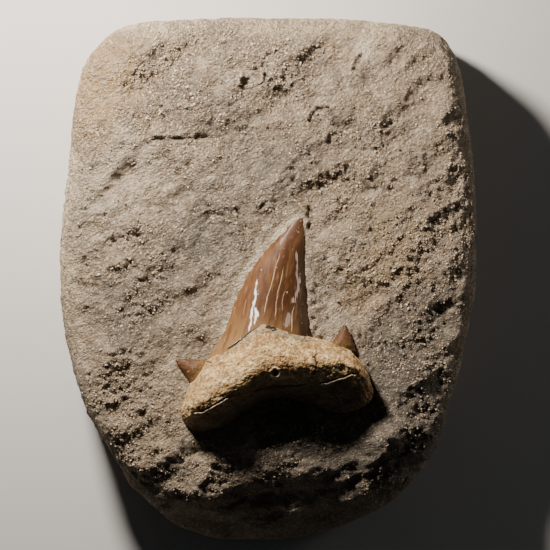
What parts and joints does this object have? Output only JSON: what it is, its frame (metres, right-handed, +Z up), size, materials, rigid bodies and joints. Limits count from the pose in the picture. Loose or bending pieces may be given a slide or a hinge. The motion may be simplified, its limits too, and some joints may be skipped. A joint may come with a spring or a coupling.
{
  "type": "fossil shark tooth in matrix block",
  "caption": "Large fossil shark tooth, tongue side up, with lobed root, tall curved crown and small side cusplets, still set in a slab of pale sandy matrix with a flat sawn back.",
  "frame": {"origin": "under the middle of the slab, on the surface that its flat back rests on", "axes": "+Z up out of the slab's face, +Y along the slab towards the tip of the tooth, +X to the right"},
  "size_m": [0.1089, 0.1364, 0.0428],
  "materials": {
    "sandy_matrix": "matt, gritty, broken and ground by hand",
    "fossil_tooth": "glossy brown enamel on the crown, matt ochre bone on the root"
  },
  "bodies": {
    "root": {"matrix_block": "sandy_matrix", "shark_tooth": "fossil_tooth"}
  },
  "joints": []
}
